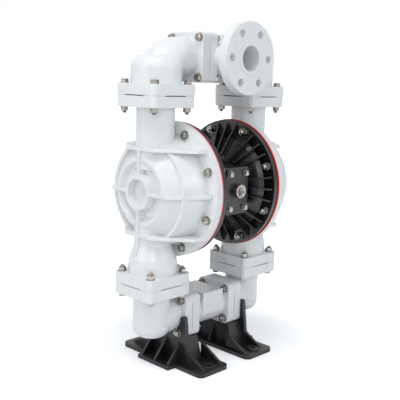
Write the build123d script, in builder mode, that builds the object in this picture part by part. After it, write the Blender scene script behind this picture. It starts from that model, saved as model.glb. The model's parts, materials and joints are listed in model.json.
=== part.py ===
# Air operated double diaphragm pump, 2 inch size, with plastic liquid parts.
# The pump axis runs along X, the outlet faces -Y, Z is up and the floor is z = 0.
import os
from math import cos, radians, sin, sqrt

from build123d import *

os.makedirs("parts", exist_ok=True)

# ---- Layout -----------------------------------------------------------------
column_offset = 162.0  # pump centre to the axis of each liquid column
suction_axis_height = 119.0  # floor to the axis of the suction manifold
suction_rise = 88.0  # suction manifold axis to the lower column joint
column_joint_spacing = 436.0  # lower to upper column joint
discharge_rise = 88.0  # upper column joint to the discharge manifold axis

suction_joint_height = suction_axis_height + suction_rise
discharge_joint_height = suction_joint_height + column_joint_spacing
pump_axis_height = suction_joint_height + column_joint_spacing / 2
discharge_axis_height = discharge_joint_height + discharge_rise

# ---- Liquid passages --------------------------------------------------------
pipe_radius = 44.5
bore_radius = 29.0
housing_radius = 58.0  # ball housings, outside
cage_radius = 46.0  # ball housings, inside
cage_height = 48.0  # straight part of a ball cage, above its joint
cage_neck_height = 28.0  # taper from the cage to the bore
bore_stop = 60.0  # pump axis to the inner end of each column bore
elbow_bend_radius = 60.0
housing_shoulder = 26.0

# ---- Column joints: two square plates with four bolts -----------------------
plate_size = 130.0
plate_thickness = 26.0
plate_corner = 12.0
joint_bolt_offset = 50.0
relief_length = 62.0  # shallow slot in the middle of each plate side
relief_width = 14.0
relief_depth = 1.0

# ---- Manifold joints --------------------------------------------------------
discharge_tee_half = 48.0  # pump centre to the upper tee's joint face
suction_tee_half = 76.0  # pump centre to the lower tee's joint face
tee_plate_thickness = 24.0
discharge_plate_size = 114.0
discharge_bolt_offset = 45.0
suction_plate_size = 106.0
suction_bolt_offset = 39.0
manifold_seal_width = 6.0
tee_panel_half_width = 35.0  # flat sided middle of the lower tee
tee_panel_half_depth = 48.0
tee_panel_drop = 11.0
tee_panel_height = 56.0
heel_radius = 26.0  # rounded bottom of the suction elbow

# ---- Outlet and inlet flanges -----------------------------------------------
port_flange_radius = 82.5
port_flange_thickness = 24.0
port_flange_reach = 139.0  # pump centre to the flange face
port_bolt_circle = 62.5  # radius
port_bolt_hole = 9.0  # radius
port_bolt_count = 6
port_face_ring = 38.0  # outer radius of the raised sealing face
port_face_rise = 1.0
branch_radius = 36.0

# ---- Ball valves ------------------------------------------------------------
ball_radius = 35.0
ball_lift = 14.0
ball_side_gap = 1.0  # ball to the guide ribs
running_gap = 0.3  # between moving curved faces at rest
seat_mouth_radius = 29.0
seat_bore_radius = 23.0
seat_rise = 8.0  # seat above its joint plane
seat_recess = 8.0  # pocket for seat and seal below the joint plane
seat_seal_thickness = 3.0
seat_fit = 0.2
seat_seal_bore = 33.0
cage_rib_thickness = 6.0
stop_bar_radius = 4.0
stop_bar_half = 34.0

# ---- Pump chambers, distances along the pump axis ---------------------------
clamp_face = 98.0  # air cap face that carries the diaphragm bead
bead_thickness = 3.0
disc_radius = 160.0
clamp_circle_inset = 18.0  # bolt circle inside the disc edge
bead_width = 41.0  # disc edge to the inside of the clamped bead
bead_inner_radius = disc_radius - bead_width
fluid_flange_thickness = 18.0
clamp_bolt_circle = disc_radius - clamp_circle_inset
clamp_bolt_count = 8
clamp_start_angle = 22.5
fluid_face = clamp_face + bead_thickness
drum_root = fluid_face + fluid_flange_thickness
drum_depth = 64.0
drum_root_inset = 11.0  # foot of the drum inside the bolt circle
drum_taper = 11.5  # foot of the drum to its rim
drum_root_radius = clamp_bolt_circle - drum_root_inset
drum_radius = drum_root_radius - drum_taper
drum_rim_width = 8.0
valley_depth = 6.0
ring_front = 24.0  # inner ring in front of the drum rim
ring_radius = 78.0
ring_width = 8.0
tube_front = 32.0  # centre tube in front of the drum rim
tube_radius = 40.0
tube_wall = 9.0
cap_wall = 13.0
rib_thickness = 8.0
rib_spacing = 99.0  # pump axis to the upper and lower ribs
air_flange_thickness = 14.0
air_disc_setback = 2.0
air_disc_radius = disc_radius - air_disc_setback

# ---- Air section ------------------------------------------------------------
centre_half = 46.0  # centre body, half width between the air caps
centre_radius = 56.0
centre_band_half = 38.0
centre_band_radius = 70.0
air_hub_thickness = 10.0
air_hub_radius = 48.0
air_rib_thickness = 4.0
air_rib_height = 7.0
block_half_width = 38.0
block_half_height = 56.0
block_front = 101.0
cover_thickness = 12.0
cover_screw_x = 27.0
cover_screw_z = 41.0
fitting_radius = 16.5
fitting_length = 14.0
fitting_bore = 9.3
air_passage_radius = 7.5  # from the fitting to the spool sleeve
fitting_shank_radius = 13.0
muffler_radius = 24.0
muffler_length = 76.0
muffler_neck_radius = 12.0

# ---- Diaphragm rod and valve gear -------------------------------------------
rod_radius = 12.0
rod_fit = 0.05
rod_stroke = 13.0
diaphragm_hub = 80.0  # pump centre to the diaphragm's air side, at mid stroke
diaphragm_thickness = 5.0
inner_washer_radius = 46.0
inner_washer_thickness = 8.0
outer_washer_radius = 50.0
outer_washer_thickness = 10.0
rod_screw_radius = 6.0
rod_screw_reach = 34.0
rod_screw_head = 10.0
bush_wall = 6.0
bush_length = 26.0
seal_width = 5.0
spool_radius = 14.0
spool_half = 26.0
spool_axis_y = -72.0
sleeve_wall = 5.0
sleeve_half = 33.0
pilot_radius = 4.0
pilot_drop = 33.0
pilot_travel = 5.0

# ---- Fasteners --------------------------------------------------------------
bolt_radius = 5.0
bolt_flats = 16.0
bolt_head = 7.0
nut_height = 8.5
thread_end = 5.0
washer_radius = 10.0
washer_thickness = 2.0
thread_gap = 0.05
hole_gap = 0.5
cover_screw_radius = 4.0
cover_screw_flats = 13.0
cover_screw_head = 6.0

# ---- Feet -------------------------------------------------------------------
foot_base_thickness = 10.0
foot_inner_edge = 34.0
foot_outer_edge = 132.0
foot_toe_reach = 155.0
foot_toe_half = 54.0
foot_half_length = 140.0
foot_corner = 14.0
ear_thickness = 10.0
ear_height = 122.0
ear_fin_outer = 60.0
ear_fin_width = 10.0
ear_root_half = 76.0
cradle_gap = 1.5
foot_block_inner = 56.0
foot_block_top_half = 50.0
foot_block_root_half = 72.0
foot_block_wall = 8.0
gusset_thickness = 7.0
gusset_height = 46.0
anchor_x = 83.0
anchor_y = 116.0
anchor_hole = 6.5
anchor_boss_radius = 15.0
anchor_boss_height = 4.0

# ---- Planes and axes --------------------------------------------------------
pump_axis = Axis((0, 0, pump_axis_height), (1, 0, 0))
column_axis = Axis((column_offset, 0, 0), (0, 0, 1))
column_section = Plane(origin=(column_offset, 0, 0), x_dir=(1, 0, 0), z_dir=(0, -1, 0))
hole_radius = bolt_radius + hole_gap


def pump_section(angle):
    # Plane through the pump axis: local x is X, local y points outward at this angle from Z.
    outward = Vector(0, sin(radians(angle)), cos(radians(angle)))
    z_dir = Vector(1, 0, 0).cross(outward)
    return Plane(origin=(0, 0, pump_axis_height), x_dir=(1, 0, 0), z_dir=z_dir)


def across(x):
    # Plane square to the pump axis at x, local x is Y and local y is Z, origin on the axis.
    return Plane(origin=(x, 0, pump_axis_height), x_dir=(0, 1, 0), z_dir=(1, 0, 0))


def finish(piece, name):
    piece.part.label = name
    export_step(piece.part, f"parts/{name}.step")


def finish_pair(piece, name):
    # A piece made for the +X side, and its mirror image.
    with BuildPart() as twin:
        mirror(piece.part, about=Plane.YZ)
    finish(piece, f"{name}_right")
    finish(twin, f"{name}_left")


# ---- Fastener templates: bearing face at z = 0, shank or nut towards +z ------
def hex_bolt(grip, radius, flats, head):
    with BuildPart() as bolt:
        with BuildSketch(Plane.XY.offset(-washer_thickness - head)):
            RegularPolygon(flats / 2, 6, major_radius=False)
        extrude(amount=head)
        with BuildSketch(Plane.XY.offset(-washer_thickness)):
            Circle(washer_radius * radius / bolt_radius)
        extrude(amount=washer_thickness)
        with BuildSketch(Plane.XY):
            Circle(radius)
        extrude(amount=grip)
    return bolt.part


def hex_nut():
    with BuildPart() as nut:
        with BuildSketch(Plane.XY):
            Circle(washer_radius)
        extrude(amount=washer_thickness)
        with BuildSketch(Plane.XY.offset(washer_thickness)):
            RegularPolygon(bolt_flats / 2, 6, major_radius=False)
        extrude(amount=nut_height)
        with BuildSketch(Plane.XY):
            Circle(bolt_radius + thread_gap)
        extrude(amount=washer_thickness + nut_height, mode=Mode.SUBTRACT)
    return nut.part


def bolt_for(grip):
    length = grip + washer_thickness + nut_height + thread_end
    return hex_bolt(length, bolt_radius, bolt_flats, bolt_head)


nut = hex_nut()


# ---- Square joint plates: joint face at z = 0, plate towards +z --------------
def square_plate(size, thickness, bolt_offset, inner_radius):
    with BuildPart() as plate:
        with BuildSketch(Plane.XY):
            RectangleRounded(size, size, plate_corner)
            with GridLocations(2 * bolt_offset, 2 * bolt_offset, 2, 2):
                Circle(hole_radius, mode=Mode.SUBTRACT)
            Circle(inner_radius, mode=Mode.SUBTRACT)
        extrude(amount=thickness)
        with BuildSketch(Plane.XY):
            with PolarLocations(size / 2, 4):
                Rectangle(2 * relief_width, relief_length)
        extrude(amount=relief_depth, mode=Mode.SUBTRACT)
    return plate.part


column_plate = square_plate(plate_size, plate_thickness, joint_bolt_offset, bore_radius)
discharge_plate = square_plate(
    discharge_plate_size, tee_plate_thickness, discharge_bolt_offset, bore_radius
)
suction_plate = square_plate(
    suction_plate_size, tee_plate_thickness, suction_bolt_offset, bore_radius
)

facing_down = (180, 0, 0)
facing_out = (0, 90, 0)
facing_in = (0, -90, 0)

# ---- Ball cage, cut from the joint plane upwards -----------------------------
rib_reach = cage_radius - ball_radius - ball_side_gap
ball_rest = (seat_rise - seat_mouth_radius) + (ball_radius + running_gap) * sqrt(2)
stop_bar_rise = ball_rest + ball_radius + ball_lift + running_gap + stop_bar_radius
cage_top = cage_height + cage_neck_height


def cage_void(joint_height, bore_end):
    # The space round one ball with its guide ribs, up to where the bore goes on.
    with BuildPart() as void:
        with BuildSketch(column_section):
            Polygon(
                (0, joint_height),
                (cage_radius, joint_height),
                (cage_radius, joint_height + cage_height),
                (bore_radius, joint_height + cage_top),
                (bore_radius, bore_end),
                (0, bore_end),
                align=None,
            )
        revolve(axis=column_axis)
        with BuildSketch(Plane.XY.offset(joint_height + seat_rise)):
            with Locations((column_offset, 0)):
                with PolarLocations(cage_radius - rib_reach / 2, 4, start_angle=45):
                    Rectangle(rib_reach + 1, cage_rib_thickness)
        extrude(amount=cage_height - seat_rise, mode=Mode.SUBTRACT)
        with BuildSketch(Plane.XZ.offset(-stop_bar_half)):
            with Locations((column_offset, joint_height + stop_bar_rise)):
                Circle(stop_bar_radius)
        extrude(amount=2 * stop_bar_half, mode=Mode.SUBTRACT)
    return void.part


# ---- Fluid cap ---------------------------------------------------------------
drum_face = drum_root + drum_depth
ring_face = drum_face + ring_front
tube_face = drum_face + tube_front
valley_floor = drum_face - valley_depth
valley_radius = drum_radius - drum_rim_width - 1.5
ring_foot = ring_face - cap_wall
tube_bore = tube_radius - tube_wall
chord_half = sqrt(disc_radius**2 - rib_spacing**2)
pipe_front = column_offset + pipe_radius
suction_void = cage_void(suction_joint_height, pump_axis_height - bore_stop)

with BuildPart() as fluid_cap:
    # Flange disc, drum, inner ring and centre tube in one section.
    with BuildSketch(pump_section(0)):
        Polygon(
            (fluid_face, 0),
            (fluid_face, disc_radius),
            (drum_root, disc_radius),
            (drum_root, drum_root_radius),
            (drum_face, drum_radius),
            (drum_face, drum_radius - drum_rim_width),
            (valley_floor, valley_radius),
            (ring_face, ring_radius),
            (ring_face, ring_radius - ring_width),
            (ring_foot, ring_radius - 2 * ring_width),
            (ring_foot, tube_radius + 3),
            (tube_face, tube_radius),
            (tube_face, tube_bore),
            (ring_foot, tube_bore),
            (ring_foot, 0),
            align=None,
        )
    revolve(axis=pump_axis)
    # Liquid column above the drum and the ball housing below it.
    with BuildSketch(Plane.XY.offset(discharge_joint_height - plate_thickness)):
        with Locations((column_offset, 0)):
            Circle(pipe_radius)
    extrude(amount=pump_axis_height + ring_radius - discharge_joint_height)
    with BuildSketch(column_section):
        Polygon(
            (0, suction_joint_height + plate_thickness),
            (housing_radius, suction_joint_height + plate_thickness),
            (housing_radius, suction_joint_height + cage_height),
            (housing_radius - 2, suction_joint_height + cage_height + 14),
            (housing_radius - 7, suction_joint_height + cage_height + 28),
            (pipe_radius, suction_joint_height + cage_height + 44),
            (pipe_radius, pump_axis_height - ring_radius + ring_width),
            (0, pump_axis_height - ring_radius + ring_width),
            align=None,
        )
    revolve(axis=column_axis)
    with Locations(Location((column_offset, 0, suction_joint_height))):
        add(column_plate)
    with Locations(Location((column_offset, 0, discharge_joint_height), facing_down)):
        add(column_plate)
    # Level ribs right across the disc, and one at the axis that stops at the tube.
    for rib_height in (-rib_spacing, rib_spacing):
        with BuildSketch(Plane.XY.offset(pump_axis_height + rib_height - rib_thickness / 2)):
            Polygon(
                (fluid_face + rib_thickness, -chord_half),
                (drum_root + 26, -chord_half + 4),
                (pipe_front + 5, -pipe_radius),
                (pipe_front + 5, pipe_radius),
                (drum_root + 26, chord_half - 4),
                (fluid_face + rib_thickness, chord_half),
                align=None,
            )
        extrude(amount=rib_thickness)
    with BuildSketch(Plane.XY.offset(pump_axis_height - rib_thickness / 2)):
        Polygon(
            (fluid_face + rib_thickness, -disc_radius + 10),
            (ring_face, -tube_radius),
            (ring_face, tube_radius),
            (fluid_face + rib_thickness, disc_radius - 10),
            align=None,
        )
    extrude(amount=rib_thickness)
    # Upright rib on the centre line, from the upper rib down to the ball housing.
    with BuildSketch(Plane.XZ.offset(-rib_thickness / 2)):
        Polygon(
            (drum_root, pump_axis_height + rib_spacing),
            (pipe_front + 5, pump_axis_height + rib_spacing),
            (tube_face - 2, pump_axis_height + tube_radius),
            (tube_face - 2, pump_axis_height - tube_radius),
            (pipe_front + 5, pump_axis_height - rib_spacing),
            (column_offset + housing_radius - 4, suction_joint_height + cage_height + 24),
            (column_offset, suction_joint_height + cage_height + 24),
            (drum_root, pump_axis_height - rib_spacing),
            align=None,
        )
    extrude(amount=rib_thickness)
    # The tube stays open in front, with a shallow dimple in its floor.
    with BuildSketch(across(ring_foot)):
        Circle(tube_bore)
    extrude(amount=tube_front, mode=Mode.SUBTRACT)
    with BuildSketch(pump_section(0)):
        Polygon((ring_foot - 3, 0), (ring_foot - 3, 6), (ring_foot + 1, 10), (ring_foot + 1, 0), align=None)
    revolve(axis=pump_axis, mode=Mode.SUBTRACT)
    # Pump chamber, discharge bore, seat pocket and the suction ball cage.
    with BuildSketch(pump_section(0)):
        Polygon(
            (fluid_face, 0),
            (fluid_face, drum_root_radius - cap_wall),
            (valley_floor - cap_wall, drum_radius - cap_wall),
            (ring_foot - cap_wall, ring_radius),
            (ring_foot - cap_wall, 0),
            align=None,
        )
    revolve(axis=pump_axis, mode=Mode.SUBTRACT)
    with BuildSketch(Plane.XY.offset(discharge_joint_height)):
        with Locations((column_offset, 0)):
            Circle(bore_radius)
    extrude(amount=pump_axis_height + bore_stop - discharge_joint_height, mode=Mode.SUBTRACT)
    with BuildSketch(Plane.XY.offset(discharge_joint_height - seat_recess)):
        with Locations((column_offset, 0)):
            Circle(cage_radius)
    extrude(amount=seat_recess, mode=Mode.SUBTRACT)
    add(suction_void, mode=Mode.SUBTRACT)
    # Holes for the clamp bolts.
    with BuildSketch(across(fluid_face)):
        with PolarLocations(clamp_bolt_circle, clamp_bolt_count, start_angle=clamp_start_angle):
            Circle(hole_radius)
    extrude(amount=fluid_flange_thickness, mode=Mode.SUBTRACT)
    # Spot faces keep the bolt heads clear of the level ribs.
    with BuildSketch(across(drum_root)):
        with PolarLocations(clamp_bolt_circle, clamp_bolt_count, start_angle=clamp_start_angle):
            Circle(washer_radius + running_gap)
    extrude(amount=washer_thickness + bolt_head + 2, mode=Mode.SUBTRACT)
finish_pair(fluid_cap, "fluid_cap")

# ---- Diaphragm ---------------------------------------------------------------
with BuildPart() as diaphragm:
    with BuildSketch(pump_section(0)):
        Polygon(
            (diaphragm_hub, rod_screw_radius + rod_fit),
            (diaphragm_hub, inner_washer_radius + 2),
            (clamp_face - 8, (inner_washer_radius + bead_inner_radius) / 2 + 6),
            (clamp_face, bead_inner_radius - 1),
            (clamp_face, disc_radius),
            (fluid_face, disc_radius),
            (fluid_face, drum_root_radius - cap_wall - 2),
            (clamp_face - 3.5, (inner_washer_radius + bead_inner_radius) / 2 + 2),
            (diaphragm_hub + diaphragm_thickness, outer_washer_radius - 4),
            (diaphragm_hub + diaphragm_thickness, rod_screw_radius + rod_fit),
            align=None,
        )
    revolve(axis=pump_axis)
    with BuildSketch(across(clamp_face)):
        with PolarLocations(clamp_bolt_circle, clamp_bolt_count, start_angle=clamp_start_angle):
            Circle(hole_radius)
    extrude(amount=bead_thickness, mode=Mode.SUBTRACT)
finish_pair(diaphragm, "diaphragm")

# ---- Air cap: dished disc with radial ribs on the side of the pump centre -----
air_flange_inner = clamp_face - air_flange_thickness
hub_face = centre_half + air_hub_thickness
rib_pitch = 360 / clamp_bolt_count / 4
rib_angles = [
    (quarter + 0.5) * 4 * rib_pitch + step * rib_pitch
    for quarter in range(clamp_bolt_count)
    for step in (1, 2, 3)
]

with BuildPart() as air_cap:
    with BuildSketch(pump_section(0)):
        Polygon(
            (centre_half, rod_radius + bush_wall),
            (centre_half, centre_radius),
            (air_flange_inner - 8, bead_inner_radius - 3),
            (air_flange_inner, bead_inner_radius + 7),
            (air_flange_inner, air_disc_radius),
            (clamp_face, air_disc_radius),
            (clamp_face, bead_inner_radius),
            (clamp_face - 6, bead_inner_radius - 3),
            (hub_face + 2, air_hub_radius + 2),
            (hub_face, air_hub_radius),
            (hub_face, rod_radius + bush_wall),
            align=None,
        )
    revolve(axis=pump_axis)
    with BuildSketch(*[pump_section(angle) for angle in rib_angles]):
        Polygon(
            (air_flange_inner + 2, air_disc_radius - 6),
            (air_flange_inner - air_rib_height + 2, air_disc_radius - 10),
            (centre_half - 2, centre_band_radius + 6),
            (centre_half + 14, centre_band_radius + 6),
            (air_flange_inner + 4, bead_inner_radius + 9),
            align=None,
        )
    extrude(amount=air_rib_thickness / 2, both=True)
    with BuildSketch(across(air_flange_inner)):
        with PolarLocations(clamp_bolt_circle, clamp_bolt_count, start_angle=clamp_start_angle):
            Circle(hole_radius)
    extrude(amount=air_flange_thickness, mode=Mode.SUBTRACT)
    with BuildSketch(across(centre_half)):
        with Locations((0, -pilot_drop)):
            Circle(pilot_radius + running_gap)
    extrude(amount=air_hub_thickness, mode=Mode.SUBTRACT)
finish_pair(air_cap, "air_cap")

# ---- Clamp bolts round each chamber ------------------------------------------
clamp_grip = drum_root - air_flange_inner
clamp_bolt = bolt_for(clamp_grip)
clamp_angles = [clamp_start_angle + 360 / clamp_bolt_count * step for step in range(clamp_bolt_count)]


def clamp_places(x, rotation):
    return [
        Location(
            (
                x,
                clamp_bolt_circle * cos(radians(angle)),
                pump_axis_height + clamp_bolt_circle * sin(radians(angle)),
            ),
            rotation,
        )
        for angle in clamp_angles
    ]


with BuildPart() as clamp_bolts:
    with Locations(*clamp_places(drum_root, facing_in)):
        add(clamp_bolt)
finish_pair(clamp_bolts, "clamp_bolts")

with BuildPart() as clamp_nuts:
    with Locations(*clamp_places(air_flange_inner, facing_in)):
        add(nut)
finish_pair(clamp_nuts, "clamp_nuts")

# ---- Discharge elbow with its ball housing -----------------------------------
discharge_face = discharge_tee_half
elbow_start = discharge_axis_height - elbow_bend_radius
elbow_end = column_offset - elbow_bend_radius
discharge_run = elbow_end - discharge_face
bend_axis = Axis((elbow_end, 0, elbow_start), (0, -1, 0))
discharge_void = cage_void(discharge_joint_height, discharge_joint_height + cage_top + 4)
seal_pocket_radius = bore_radius + manifold_seal_width + seat_fit

with BuildPart() as outlet_elbow:
    with Locations(Location((column_offset, 0, discharge_joint_height))):
        add(column_plate)
    with BuildSketch(column_section):
        with BuildLine():
            wall_top = discharge_axis_height - housing_shoulder
            foot = discharge_joint_height + plate_thickness
            Polyline((0, discharge_axis_height), (0, foot), (housing_radius, foot), (housing_radius, wall_top))
            RadiusArc(
                (housing_radius, wall_top),
                (housing_radius - housing_shoulder, discharge_axis_height),
                -housing_shoulder,
            )
            Line((housing_radius - housing_shoulder, discharge_axis_height), (0, discharge_axis_height))
        make_face()
    revolve(axis=column_axis)
    with BuildSketch(Plane.XY.offset(elbow_start)):
        with Locations((column_offset, 0)):
            Circle(pipe_radius)
    revolve(axis=bend_axis, revolution_arc=90)
    with BuildSketch(Plane(origin=(discharge_face, 0, discharge_axis_height), z_dir=(1, 0, 0))):
        Circle(pipe_radius)
    extrude(amount=discharge_run)
    with Locations(Location((discharge_face, 0, discharge_axis_height), facing_out)):
        add(discharge_plate)
    # Liquid passage.
    add(discharge_void, mode=Mode.SUBTRACT)
    with BuildSketch(Plane.XY.offset(elbow_start)):
        with Locations((column_offset, 0)):
            Circle(bore_radius)
    revolve(axis=bend_axis, revolution_arc=90, mode=Mode.SUBTRACT)
    with BuildSketch(Plane(origin=(discharge_face, 0, discharge_axis_height), z_dir=(1, 0, 0))):
        Circle(bore_radius)
    extrude(amount=discharge_run, mode=Mode.SUBTRACT)
    with BuildSketch(Plane(origin=(discharge_face, 0, discharge_axis_height), z_dir=(1, 0, 0))):
        Circle(seal_pocket_radius)
    extrude(amount=relief_depth, mode=Mode.SUBTRACT)
    with BuildSketch(Plane.XZ.offset(-stop_bar_half)):
        with Locations((column_offset, discharge_joint_height + stop_bar_rise)):
            Circle(stop_bar_radius)
    extrude(amount=2 * stop_bar_half)
finish_pair(outlet_elbow, "outlet_elbow")

# ---- Suction elbow -----------------------------------------------------------
suction_face = suction_tee_half
suction_foot = suction_axis_height - pipe_radius

with BuildPart() as inlet_elbow:
    with Locations(Location((column_offset, 0, suction_joint_height), facing_down)):
        add(column_plate)
    with BuildSketch(column_section):
        with BuildLine():
            Polyline(
                (pipe_radius, suction_foot + heel_radius),
                (pipe_radius, suction_joint_height - plate_thickness),
                (0, suction_joint_height - plate_thickness),
                (0, suction_foot),
                (pipe_radius - heel_radius, suction_foot),
            )
            RadiusArc(
                (pipe_radius - heel_radius, suction_foot),
                (pipe_radius, suction_foot + heel_radius),
                -heel_radius,
            )
        make_face()
    revolve(axis=column_axis)
    with BuildSketch(Plane(origin=(suction_face, 0, suction_axis_height), z_dir=(1, 0, 0))):
        Circle(pipe_radius)
    extrude(amount=column_offset - suction_face)
    with Locations(Location((suction_face, 0, suction_axis_height), facing_out)):
        add(suction_plate)
    with BuildSketch(Plane(origin=(suction_face, 0, suction_axis_height), z_dir=(1, 0, 0))):
        Circle(bore_radius)
    extrude(amount=column_offset - suction_face, mode=Mode.SUBTRACT)
    with BuildSketch(Plane(origin=(suction_face, 0, suction_axis_height), z_dir=(1, 0, 0))):
        Circle(seal_pocket_radius)
    extrude(amount=relief_depth, mode=Mode.SUBTRACT)
    with BuildSketch(Plane.XY.offset(suction_axis_height)):
        with Locations((column_offset, 0)):
            Circle(bore_radius)
    extrude(amount=suction_rise, mode=Mode.SUBTRACT)
    with Locations((column_offset, 0, suction_axis_height)):
        Sphere(bore_radius, mode=Mode.SUBTRACT)
    with BuildSketch(Plane.XY.offset(suction_joint_height - seat_recess)):
        with Locations((column_offset, 0)):
            Circle(cage_radius)
    extrude(amount=seat_recess, mode=Mode.SUBTRACT)
finish_pair(inlet_elbow, "inlet_elbow")


# ---- Manifold tees with their round flanges ----------------------------------
def port_flange(axis_height):
    # Solid branch and flange towards -Y, with its bolt holes and raised sealing face.
    flange_plane = Plane(origin=(0, -port_flange_reach, axis_height), x_dir=(1, 0, 0), z_dir=(0, 1, 0))
    with BuildPart() as port:
        with BuildSketch(flange_plane.offset(port_face_rise)):
            Circle(port_flange_radius)
            with PolarLocations(port_bolt_circle, port_bolt_count):
                Circle(port_bolt_hole, mode=Mode.SUBTRACT)
        extrude(amount=port_flange_thickness - port_face_rise)
        with BuildSketch(flange_plane):
            Circle(port_face_ring)
        extrude(amount=port_face_rise)
        with BuildSketch(flange_plane.offset(port_face_rise)):
            Circle(branch_radius)
        extrude(amount=port_flange_reach - port_face_rise)
    return port.part


def tee_ends(x, axis_height):
    # Planes square to the manifold axis at +x and -x, each facing outwards.
    return [Plane(origin=(side * x, 0, axis_height), z_dir=(side, 0, 0)) for side in (1, -1)]


outlet_port = port_flange(discharge_axis_height)
inlet_port = port_flange(suction_axis_height)

with BuildPart() as outlet_tee:
    with BuildSketch(Plane(origin=(-discharge_face, 0, discharge_axis_height), z_dir=(1, 0, 0))):
        Circle(pipe_radius)
    extrude(amount=2 * discharge_face)
    with Locations(
        Location((discharge_face, 0, discharge_axis_height), facing_in),
        Location((-discharge_face, 0, discharge_axis_height), facing_out),
    ):
        add(discharge_plate)
    add(outlet_port)
    with BuildSketch(Plane(origin=(-discharge_face, 0, discharge_axis_height), z_dir=(1, 0, 0))):
        Circle(bore_radius)
    extrude(amount=2 * discharge_face, mode=Mode.SUBTRACT)
    with BuildSketch(Plane(origin=(0, 0, discharge_axis_height), x_dir=(1, 0, 0), z_dir=(0, -1, 0))):
        Circle(bore_radius)
    extrude(amount=port_flange_reach, mode=Mode.SUBTRACT)
    with BuildSketch(*tee_ends(discharge_face - relief_depth, discharge_axis_height)):
        Circle(seal_pocket_radius)
    extrude(amount=relief_depth, mode=Mode.SUBTRACT)
finish(outlet_tee, "outlet_tee")

with BuildPart() as inlet_tee:
    with BuildSketch(Plane(origin=(-suction_face, 0, suction_axis_height), z_dir=(1, 0, 0))):
        Circle(pipe_radius)
    extrude(amount=2 * suction_face)
    with Locations(
        Location((suction_face, 0, suction_axis_height), facing_in),
        Location((-suction_face, 0, suction_axis_height), facing_out),
    ):
        add(suction_plate)
    # Flat sided body between the joint plates.
    with BuildSketch(Plane.XY.offset(suction_axis_height - tee_panel_drop)):
        Rectangle(2 * tee_panel_half_width, 2 * tee_panel_half_depth)
    extrude(amount=tee_panel_height)
    with Locations(Location((0, 0, 0), (0, 0, 180))):
        add(inlet_port)
    with BuildSketch(Plane(origin=(-suction_face, 0, suction_axis_height), z_dir=(1, 0, 0))):
        Circle(bore_radius)
    extrude(amount=2 * suction_face, mode=Mode.SUBTRACT)
    with BuildSketch(Plane(origin=(0, 0, suction_axis_height), x_dir=(0, 0, 1), z_dir=(0, 1, 0))):
        Circle(bore_radius)
    extrude(amount=port_flange_reach, mode=Mode.SUBTRACT)
    with BuildSketch(*tee_ends(suction_face - relief_depth, suction_axis_height)):
        Circle(seal_pocket_radius)
    extrude(amount=relief_depth, mode=Mode.SUBTRACT)
finish(inlet_tee, "inlet_tee")

# ---- Ball valves -------------------------------------------------------------
joints = (("suction", suction_joint_height), ("discharge", discharge_joint_height))
sides = (("left", -column_offset), ("right", column_offset))

for stage_name, joint_height in joints:
    with BuildPart() as seat_seals:
        with BuildSketch(Plane.XY.offset(joint_height - seat_recess)):
            with Locations((-column_offset, 0), (column_offset, 0)):
                Circle(cage_radius - seat_fit)
                Circle(seat_seal_bore, mode=Mode.SUBTRACT)
        extrude(amount=seat_seal_thickness)
    finish(seat_seals, f"{stage_name}_seat_seals")
    for side, x in sides:
        valve_section = Plane(origin=(x, 0, joint_height), x_dir=(1, 0, 0), z_dir=(0, -1, 0))
        with BuildPart() as seat:
            with BuildSketch(valve_section):
                Polygon(
                    (seat_bore_radius, seat_seal_thickness - seat_recess),
                    (cage_radius - seat_fit, seat_seal_thickness - seat_recess),
                    (cage_radius - seat_fit, seat_rise),
                    (seat_mouth_radius, seat_rise),
                    (seat_bore_radius, seat_rise - seat_mouth_radius + seat_bore_radius),
                    align=None,
                )
            revolve(axis=Axis((x, 0, 0), (0, 0, 1)))
        finish(seat, f"{stage_name}_seat_{side}")
        with BuildPart() as ball:
            with Locations((x, 0, joint_height + ball_rest)):
                Sphere(ball_radius)
        finish(ball, f"{stage_name}_ball_{side}")

# ---- Fasteners of the column joints ------------------------------------------
column_bolt = bolt_for(2 * plate_thickness)
bolt_corners = [
    (side_x + step_x * joint_bolt_offset, step_y * joint_bolt_offset)
    for side_x in (-column_offset, column_offset)
    for step_x in (-1, 1)
    for step_y in (-1, 1)
]
upper_face = discharge_joint_height + plate_thickness
lower_face = suction_joint_height - plate_thickness
fastener_levels = (
    ("discharge_joint", upper_face, facing_down, upper_face - 2 * plate_thickness, facing_down),
    ("suction_joint", lower_face, (0, 0, 0), lower_face + 2 * plate_thickness, (0, 0, 0)),
)

for name, head_level, head_turn, nut_level, nut_turn in fastener_levels:
    with BuildPart() as bolts:
        with Locations(*[Location((x, y, head_level), head_turn) for x, y in bolt_corners]):
            add(column_bolt)
    finish(bolts, f"{name}_bolts")
    with BuildPart() as nuts:
        with Locations(*[Location((x, y, nut_level), nut_turn) for x, y in bolt_corners]):
            add(nut)
    finish(nuts, f"{name}_nuts")

# ---- Fasteners of the manifold joints ----------------------------------------
tee_grip = 2 * tee_plate_thickness
tee_bolt = bolt_for(tee_grip)
foot_bolt = bolt_for(tee_grip + ear_thickness)


def manifold_places(head_x, axis_height, offset, rows, outboard_turns):
    # Bolt places on both sides of the pump, turned so that the shanks point inwards.
    return [
        Location((side * head_x, step_y * offset, axis_height + row * offset), outboard_turns[side])
        for side in (-1, 1)
        for step_y in (-1, 1)
        for row in rows
    ]


inward = {1: facing_in, -1: facing_out}
discharge_head_x = discharge_face + tee_plate_thickness
suction_head_x = suction_face + tee_plate_thickness

with BuildPart() as discharge_tee_bolts:
    with Locations(
        *manifold_places(discharge_head_x, discharge_axis_height, discharge_bolt_offset, (-1, 1), inward)
    ):
        add(tee_bolt)
finish(discharge_tee_bolts, "discharge_tee_bolts")

with BuildPart() as discharge_tee_nuts:
    with Locations(
        *manifold_places(
            discharge_head_x - tee_grip, discharge_axis_height, discharge_bolt_offset, (-1, 1), inward
        )
    ):
        add(nut)
finish(discharge_tee_nuts, "discharge_tee_nuts")

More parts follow.
